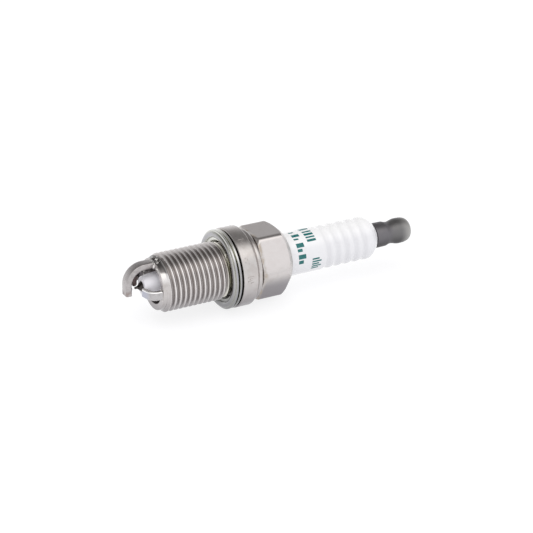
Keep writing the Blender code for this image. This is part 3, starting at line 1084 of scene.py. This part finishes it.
@dataclass
class Insulator:
    """Alumina insulator with its ribs and printed marks, in mm."""

    nose: float = -21.7
    nose_radius: float = 2.4
    stem: float = 5.25
    top: float = 39.9
    ribs: int = 5
    rib_first: float = 25.3
    rib_pitch: float = 2.55
    rib_depth: float = 0.34
    rib_half: float = 1.26
    ink_sunk: float = 0.02
    ink_proud: float = 0.006

    def ribbing(self) -> Outline:
        """Return the stem's soft grooves."""
        points = []
        for index in range(self.ribs):
            middle = self.rib_first + index * self.rib_pitch
            for step in range(-6, 7):
                dip = (1 + math.cos(math.pi * step / 6)) / 2
                points.append((middle + self.rib_half * step / 6, self.stem - self.rib_depth * dip))
        return points

    def outline(self) -> Outline:
        """Return the section from the nose to the top and back down the bore."""
        nose, radius = self.nose, self.nose_radius
        return [
            (nose, 1.3),
            (nose, radius - 0.4),
            *arc((nose + 0.4, radius - 0.4), 0.4, 180, 97, 6),
            (-12.0, 3.5),
            (-9.2, 3.85),
            (-8.6, 4.0),
            (-8.05, 4.75),
            (3.5, 4.75),
            (4.95, 6.2),
            (9.4, 6.2),
            (10.3, self.stem),
            *self.ribbing(),
            (37.0, self.stem),
            (37.6, self.stem - 0.06),
            (38.1, self.stem - 0.27),
            (38.6, self.stem - 0.62),
            (39.1, self.stem - 1.0),
            (39.5, 3.9),
            (39.75, 3.62),
            (39.88, 3.42),
            (self.top, 3.25),
            (self.top, 2.05),
            (-7.0, 2.05),
            (-7.6, 1.3),
        ]

    def marks(self) -> Iterable[tuple[tuple[float, float], tuple[float, float]]]:
        """Yield the bars of three plain rows: a bold one, a fine one and a short one."""
        for start, end in ((-34, -22), (-16, -5), (4, 10), (14, 22), (26, 31), (35, 42)):
            yield (20.1, 22.5), (start, end)
        for index, length in enumerate((6, 10, 5, 12, 8, 12, 10)):
            start = -6 + index * 15.5
            yield (16.9, 18.9 if index % 2 else 18.2), (start, start + length)
        for index in range(5):
            start = 88 + index * 7.5
            yield (20.6, 23.1 if index % 2 else 22.5), (start, start + 4.6)

    def build(self) -> list[bpy.types.Object]:
        """Build the insulator and its printed marks."""
        body = solid("insulator_body", spun(self.outline()), GLAZE, smooth_below=40.0)
        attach(body, "plug")
        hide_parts("insulator")
        depth = (self.stem - self.ink_sunk, self.stem + self.ink_proud)
        bars = joined(patch(ends, span, depth) for ends, span in self.marks())
        printed = solid("printed_marks", bars, INK)
        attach(printed, "plug")
        return [body, printed]


@dataclass
class CentreElectrode:
    """Centre electrode's sheath and its fine iridium tip, in mm."""

    sheath: float = 1.22
    sheath_end: float = -22.75
    nose: float = -21.7
    tip: float = 0.3
    tip_end: float = -23.45

    def build(self) -> list[bpy.types.Object]:
        """Build the sheath and the tip."""
        sheath = [
            (self.sheath_end, 0),
            (self.sheath_end, 0.36),
            (self.sheath_end + 0.05, 0.42),
            (self.nose - 0.35, 0.98),
            (self.nose - 0.12, 1.17),
            (self.nose + 0.05, self.sheath),
            (-7.5, self.sheath),
            (-6.9, 1.95),
            (-5.9, 1.95),
            (-5.6, 1.75),
            (-5.6, 0.73),
            (-20.0, 0.73),
            (-20.0, 0),
        ]
        tip = [
            (self.tip_end, 0),
            (self.tip_end, self.tip - 0.04),
            (self.tip_end + 0.04, self.tip),
            (-22.98, self.tip),
            (-22.85, 0.33),
            (-22.8, 0.4),
            (-22.8, 0),
        ]
        pieces = []
        for name, outline, finish, node, slot in (
            ("centre_sheath", sheath, CENTRE_NICKEL, "centre_electrode", "nickel_alloy"),
            ("fine_wire_tip", tip, IRIDIUM, "centre_electrode_tip", "iridium"),
        ):
            piece = solid(name, spun(outline, ROUND_SMALL), finish, smooth_below=35.0)
            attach(piece, "plug")
            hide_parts(node)
            pieces.append(piece)
        return pieces


@dataclass
class GroundElectrodes:
    """The hooked main ground electrode with its pad and weld, and the two side electrodes, in mm."""

    width: float = 2.7
    thickness: float = 1.45
    root: float = 5.3
    bend: float = 4.1
    past_axis: float = 1.3
    inner_face: float = 24.66
    pad_radius: float = 0.5
    pad_height: float = 0.36
    side_width: float = 2.3
    side_thickness: float = 1.15
    side_root: float = 5.3
    side_bend: float = 2.3
    side_lean: float = math.radians(72)
    side_offset: float = math.radians(5)
    side_face: float = 2.8
    side_rim: float = 0.12
    clear: float = 0.05
    splashes: list[tuple[float, float, float, float]] = field(
        default_factory=lambda: [
            (-18.25, 6.3, -6, 0.55),
            (-17.95, 6.45, 5, 0.5),
            (-18.4, 6.25, 15, 0.42),
            (-17.6, 6.65, 1, 0.36),
            (-18.8, 6.05, 22, 0.34),
            (-18.9, 5.85, 30, 0.26),
            (-17.9, 6.4, 14, 0.3),
        ]
    )

    def hook(self) -> list[bpy.types.Object]:
        """Build the hook and the pad on its inner face."""
        start = REACH + self.clear
        straight = self.inner_face + self.thickness / 2 - self.bend - start
        moves = [
            ("run", straight),
            ("bend", self.bend, math.pi / 2),
            ("run", self.root - self.bend + self.past_axis - SOFT_LENGTH),
        ]
        section = rounded_section(self.width, self.thickness, 0.5, 0.28)
        hook = solid("hooked_electrode", bar(section, (self.root, -start), moves), ELECTRODE_NICKEL, 50.0)
        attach(hook, "plug")
        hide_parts("ground_electrode_main", "ground_electrode_core")
        face = -self.inner_face + self.clear
        top = face + self.pad_height
        pad_outline = [
            (face - self.clear, 0),
            (face - self.clear, self.pad_radius + 0.05),
            (face + 0.05, self.pad_radius),
            (top - 0.06, self.pad_radius),
            (top, self.pad_radius - 0.06),
            (top, 0),
        ]
        pad = solid("electrode_pad", spun(pad_outline, ROUND_SMALL), NOBLE_PAD, 50.0)
        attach(pad, "plug")
        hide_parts("ground_electrode_pad")
        return [hook, pad]

    def weld(self) -> bpy.types.Object:
        """Build the weld's fillet round the hook's root and the splashes on the shell's edge."""
        shape = bmesh.new()
        section = rounded_section(self.width + 0.5, self.thickness + 0.3, 0.5, 0.4)
        edges = plate(shape, ((self.root - 0.02 + x, y, 0.06 - REACH) for x, y in section))[1]
        for forward, share in ((0.12, 1.0), (0.16, 0.95), (0.14, 0.9), (0.1, 0.8)):
            verts, edges = split(bmesh.ops.extrude_edge_only(shape, edges=edges)["geom"])
            bmesh.ops.translate(shape, verts=verts, vec=(0, 0, -forward * MM))
            middle = Matrix.Translation((self.root * MM, 0, 0))
            shrink = middle @ Matrix.Diagonal((share, share, 1, 1)) @ middle.inverted()
            bmesh.ops.transform(shape, matrix=shrink, verts=verts)
        bmesh.ops.edgeloop_fill(shape, edges=edges)
        bmesh.ops.subdivide_edges(shape, edges=shape.edges, cuts=1, use_grid_fill=True)
        for along, radius, degrees, size in self.splashes:
            angle = math.radians(degrees)
            centre = Vector((radius * math.cos(angle), radius * math.sin(angle), along)) * MM
            flatten = Matrix.Rotation(angle, 4, "Z") @ Matrix.Diagonal((0.45, 1.0, 0.8, 1.0))
            bmesh.ops.create_icosphere(
                shape, subdivisions=3, radius=size * MM, matrix=Matrix.Translation(centre) @ flatten
            )
        roughen(shape, 0.22, 0.45)
        piece = solid("hook_weld", shape, WELD, 60.0)
        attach(piece, "plug")
        return piece

    def sides(self) -> list[bpy.types.Object]:
        """Build the two side electrodes, hollowed where they face the nose."""
        pieces = []
        moves = [("run", 0.7), ("bend", self.side_bend, self.side_lean), ("run", 1.6)]
        well = [(-REACH - 4, 0), (-REACH - 4, self.side_face), (-REACH - 1, self.side_face), (-REACH - 1, 0)]
        for name, node, quarter, finish in (
            ("near_side_electrode", "side_electrode_left", math.pi / 2, NEAR_NICKEL),
            ("far_side_electrode", "side_electrode_right", -math.pi / 2, FAR_NICKEL_PAINTED_SHADE),
        ):
            turn = Matrix.Rotation(quarter + self.side_offset, 3, "Z")
            section = rounded_section(self.side_width, self.side_thickness, 0.45, 0.4)
            shape = bar(section, (self.side_root, -REACH - self.clear), moves)
            bmesh.ops.rotate(shape, verts=shape.verts, matrix=turn)
            piece = solid(name, shape, finish, 50.0)
            carve(piece, solid("well", spun(well, ROUND), finish), 50.0)
            rim = piece.modifiers.new("rim", "BEVEL")
            rim.limit_method = "ANGLE"
            rim.angle_limit = math.radians(50)
            rim.width = self.side_rim * MM
            rim.segments = 3
            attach(piece, "plug")
            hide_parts(node)
            pieces.append(piece)
        return pieces

    def side_welds(self) -> bpy.types.Object:
        """Build the low beads where the side electrodes join the end face."""
        shape = bmesh.new()
        for quarter in (math.pi / 2, -math.pi / 2):
            for step in range(-4, 5):
                angle = quarter + self.side_offset + step * 0.058
                for radius in (self.side_root - 0.62, self.side_root + 0.5):
                    centre = Vector((radius * math.cos(angle), radius * math.sin(angle), -REACH - 0.02)) * MM
                    bmesh.ops.create_icosphere(
                        shape, subdivisions=2, radius=0.17 * MM, matrix=Matrix.Translation(centre)
                    )
        roughen(shape, 0.1, 0.3)
        piece = solid("side_welds", shape, WELD, 60.0)
        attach(piece, "plug")
        return piece

    def build(self) -> list[bpy.types.Object]:
        """Build all the ground electrodes."""
        return [*self.hook(), self.weld(), *self.sides(), self.side_welds()]


@dataclass
class Terminal:
    """Threaded stud and the barrel-shaped nut on it, in mm."""

    thread: Thread = Thread(crest=1.95, depth=0.4, pitch=0.7, start=41.2, end=48.55)
    collar_start: float = 39.95
    collar_end: float = 40.3
    collar: float = 2.9
    stud_end: float = 49.0
    nut_end: float = 50.5
    head: float = 3.15
    bore_slack: float = 0.2
    nut_slack: float = 0.12

    def stud(self) -> bpy.types.Object:
        """Build the stud from its thread both ways."""
        start, end, crest = self.thread.start, self.thread.end, self.thread.crest
        root = crest - self.thread.depth
        limit = [(start, root + 0.02), (start + 0.4, crest), (end - 0.4, crest), (end, root + 0.02)]
        shape = self.thread.skin(limit, ROUND_SMALL)
        top = grow(shape, open_loop(shape, self.thread.end), [(48.75, root), (self.stud_end, root - 0.15)])
        bmesh.ops.edgeloop_fill(shape, edges=top)
        foot = [
            (41.0, root),
            (40.7, root),
            (self.collar_end, root + 0.1),
            (self.collar_end, self.collar - 0.08),
            (self.collar_end - 0.08, self.collar),
            (self.collar_start, self.collar),
            (self.collar_start, 1.85),
            (17.6, 1.85),
            (17.1, 1.4),
            (13.4, 1.4),
            (13.05, 1.1),
        ]
        bottom = grow(shape, open_loop(shape, self.thread.start), foot)
        bmesh.ops.edgeloop_fill(shape, edges=bottom)
        piece = solid("threaded_stud", shape, STUD_STEEL, smooth_below=48.0)
        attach(piece, "plug")
        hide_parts("terminal_stud")
        return piece

    def nut(self) -> bpy.types.Object:
        """Build the nut with its blind bore."""
        base = self.collar_end + 0.05
        bore = self.thread.crest + self.bore_slack
        outline = [
            (self.stud_end + 0.45, 0),
            (self.stud_end + 0.15, bore),
            (base + 0.3, bore),
            (base, bore + 0.22),
            (base, 2.93),
            *arc((base + 0.17, 2.93), 0.17, 180, 90, 4),
            (43.1, 3.08),
            (43.4, 3.05),
            (43.7, 2.96),
            (44.1, 2.82),
            (44.5, 2.74),
            (44.9, 2.71),
            (45.3, 2.74),
            (45.7, 2.83),
            (46.1, 2.95),
            (46.5, 3.06),
            (46.9, 3.13),
            (47.4, self.head),
            (48.0, 3.14),
            (48.5, 3.11),
            (49.0, 3.03),
            (49.4, 2.92),
            (49.75, 2.77),
            (50.05, 2.55),
            (50.28, 2.26),
            (50.42, 1.95),
            (self.nut_end, 1.6),
            (self.nut_end, 0),
        ]
        shape = spun(outline)
        bmesh.ops.translate(shape, verts=shape.verts, vec=(-self.nut_slack * MM, 0, 0))
        piece = solid("barrel_nut", shape, DARK_TERMINAL, smooth_below=45.0)
        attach(piece, "terminal_nut")
        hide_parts("terminal_nut")
        return piece

    def build(self) -> list[bpy.types.Object]:
        """Build the stud and the nut."""
        return [self.stud(), self.nut()]


@dataclass
class InnerPieces:
    """CAD nodes sealed inside the plug, which keep their shape and get their finishes."""

    finishes: dict[str, Finish] = field(
        default_factory=lambda: {
            "seat_packing_washer": COPPER,
            "wire_ring_front": STUD_STEEL,
            "wire_ring_rear": STUD_STEEL,
            "talc_packing": TALC,
            "centre_electrode_core": COPPER,
            "lower_glass_seal": SEAL_GLASS,
            "resistor": CARBON_GLASS,
            "upper_glass_seal": SEAL_GLASS,
        }
    )

    def build(self) -> list[bpy.types.Object]:
        """Dress each inner node."""
        pieces = []
        for node, finish in self.finishes.items():
            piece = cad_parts[node]
            piece.data.materials.clear()
            piece.data.materials.append(finish.material())
            pieces.append(piece)
        return pieces


@dataclass
class Studio:
    """Pale floor, soft light and the camera."""

    azimuth: float = -28.76
    elevation: float = 25.19
    roll: float = 0.54
    distance: float = 428.4
    aim: tuple[float, float, float] = (18.71, 14.11, -9.58)
    lens: float = 116.37
    floor_half: float = 3.0
    floor_tint: Colour = (0.25, 0.25, 0.262)
    floor_glow: float = 0.80
    overhead: Colour = (0.235, 0.230, 0.228)
    horizon: Colour = (0.93, 0.93, 0.94)
    front_low: Colour = (1.00, 1.00, 1.01)
    front_high: Colour = (1.40, 1.38, 1.36)
    box_from: tuple[float, float, float] = (-0.1, 0.1, 0.8)
    box_side: float = 0.9
    box_power: float = 3.4

    def floor(self) -> None:
        """Lay the floor under the plug."""
        shape = bmesh.new()
        bmesh.ops.create_grid(shape, x_segments=1, y_segments=1, size=self.floor_half)
        mesh = bpy.data.meshes.new("floor")
        shape.to_mesh(mesh)
        shape.free()
        floor = bpy.data.objects.new("floor", mesh)
        bpy.context.scene.collection.objects.link(floor)
        made = bpy.data.materials.new("pale_floor")
        made.use_nodes = True
        shader = Shader(made.node_tree)
        inputs = {
            "Base Color": (*self.floor_tint, 1.0),
            "Roughness": 0.9,
            "Specular IOR Level": 0.0,
            "Emission Color": (1.0, 1.0, 1.0, 1.0),
            "Emission Strength": self.floor_glow,
        }
        surface = shader.node("ShaderNodeBsdfPrincipled", None, inputs)
        shader.node("ShaderNodeOutputMaterial", None, {"Surface": surface.outputs[0]})
        mesh.materials.append(made)

    def sky(self) -> None:
        """Surround the plug with light: bright in front, darker overhead and behind, white to the camera."""
        world = bpy.data.worlds.new("studio")
        bpy.context.scene.world = world
        world.use_nodes = True
        shader = Shader(world.node_tree)
        direction = shader.node("ShaderNodeTexCoord").outputs["Generated"]
        parts = shader.node("ShaderNodeSeparateXYZ", None, {0: direction}).outputs
        depth, height = Value(shader, parts[1]), Value(shader, parts[2])
        rear = shader.mix(height.step(0.86, 0.0), self.overhead, self.horizon)
        front = shader.mix(height.step(0.45, 0.75), self.front_low, self.front_high)
        shade = shader.mix(depth.step(0.12, -0.50), rear, front)
        seen = shader.node("ShaderNodeLightPath").outputs["Is Camera Ray"]
        colour = shader.mix(Value(shader, seen), shade, (1.0, 1.0, 1.0))
        glow = shader.node("ShaderNodeBackground", None, {"Color": colour, "Strength": 1.0})
        shader.node("ShaderNodeOutputWorld", None, {"Surface": glow.outputs[0]})

    def soft_box(self) -> None:
        """Hang a soft box above that faces the plug and doesn't show in its metal."""
        data = bpy.data.lights.new("top_box", "AREA")
        data.shape = "RECTANGLE"
        data.size = data.size_y = self.box_side
        data.energy = self.box_power
        lamp = bpy.data.objects.new("top_box", data)
        bpy.context.scene.collection.objects.link(lamp)
        toward = Vector(self.box_from)
        lamp.location = toward + Vector((0, 0, AXIS_HEIGHT))
        lamp.rotation_mode = "QUATERNION"
        lamp.rotation_quaternion = (-toward).to_track_quat("-Z", "Y")
        lamp.visible_glossy = False

    def camera(self) -> None:
        """Aim the camera."""
        azimuth, elevation, roll = map(math.radians, (self.azimuth, self.elevation, self.roll))
        back = Vector(
            (
                math.sin(azimuth) * math.cos(elevation),
                -math.cos(azimuth) * math.cos(elevation),
                math.sin(elevation),
            )
        )
        right = (-back).cross(Vector((0, 0, 1))).normalized()
        up = right.cross(-back)
        turned_right = math.cos(roll) * right + math.sin(roll) * up
        turned_up = -math.sin(roll) * right + math.cos(roll) * up
        data = bpy.data.cameras.new("camera")
        data.lens = self.lens
        data.sensor_width = 36.0
        data.clip_start = 0.01
        data.clip_end = 10.0
        camera = bpy.data.objects.new("camera", data)
        bpy.context.scene.collection.objects.link(camera)
        stand = (Vector(self.aim) + back * self.distance) * MM + Vector((SEAT_X, 0, AXIS_HEIGHT))
        turn = Matrix((turned_right, turned_up, back)).transposed().to_4x4()
        camera.matrix_world = Matrix.Translation(stand) @ turn
        bpy.context.scene.camera = camera

    def build(self) -> None:
        """Set the whole studio up."""
        bpy.context.scene.view_settings.view_transform = "Standard"
        self.floor()
        self.sky()
        self.soft_box()
        self.camera()


def main() -> None:
    """Build every sub-assembly in order and set up the studio."""
    logging.basicConfig(level=logging.INFO, format="%(name)s: %(message)s")
    noise.seed_set(NOISE_SEED)
    parts = (Shell(), Gasket(), Insulator(), CentreElectrode(), GroundElectrodes(), Terminal(), InnerPieces())
    for part in parts:
        built = part.build()
        for piece in built if isinstance(built, list) else [built]:
            report(piece)
    Studio().build()


if __name__ == "__main__":
    main()
